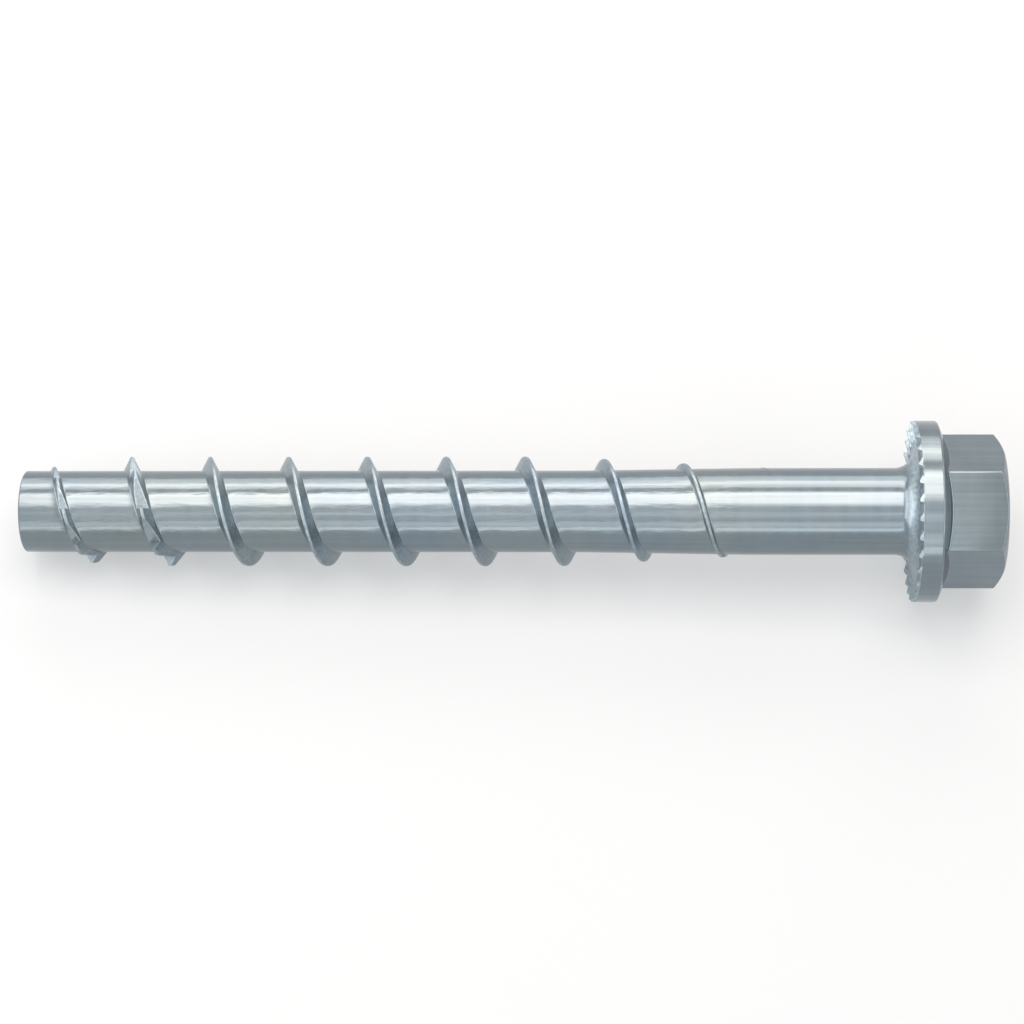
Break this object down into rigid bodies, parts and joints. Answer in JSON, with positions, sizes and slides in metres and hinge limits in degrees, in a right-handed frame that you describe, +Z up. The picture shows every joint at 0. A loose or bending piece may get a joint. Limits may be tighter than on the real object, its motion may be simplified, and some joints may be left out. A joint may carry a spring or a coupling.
{
  "type": "concrete screw",
  "caption": "Screw anchor for concrete: hexagon head on a flange with locking teeth, plain shank, coarse right-hand thread with saw-toothed first turns.",
  "frame": {"origin": "on the surface that the screw lies on, under the middle of its bounding box", "axes": "+Z up; the head points along +X and the tip along -X. The screw's axis leans 2.7 degrees up towards the head, as it does when it rests on its flange and its thread, and it is turned about that axis until a saw cut is underneath, where it stops rolling, so a flat of the hexagon faces 20.7 degrees away from straight up, towards -Y"},
  "size_m": [0.1104, 0.0204, 0.0204],
  "materials": {
    "zinc_plated_steel": "bright zinc plate with a cool grey-blue cast and faint lines along the shaft"
  },
  "bodies": {
    "root": {"concrete_screw": "zinc_plated_steel"}
  },
  "joints": []
}
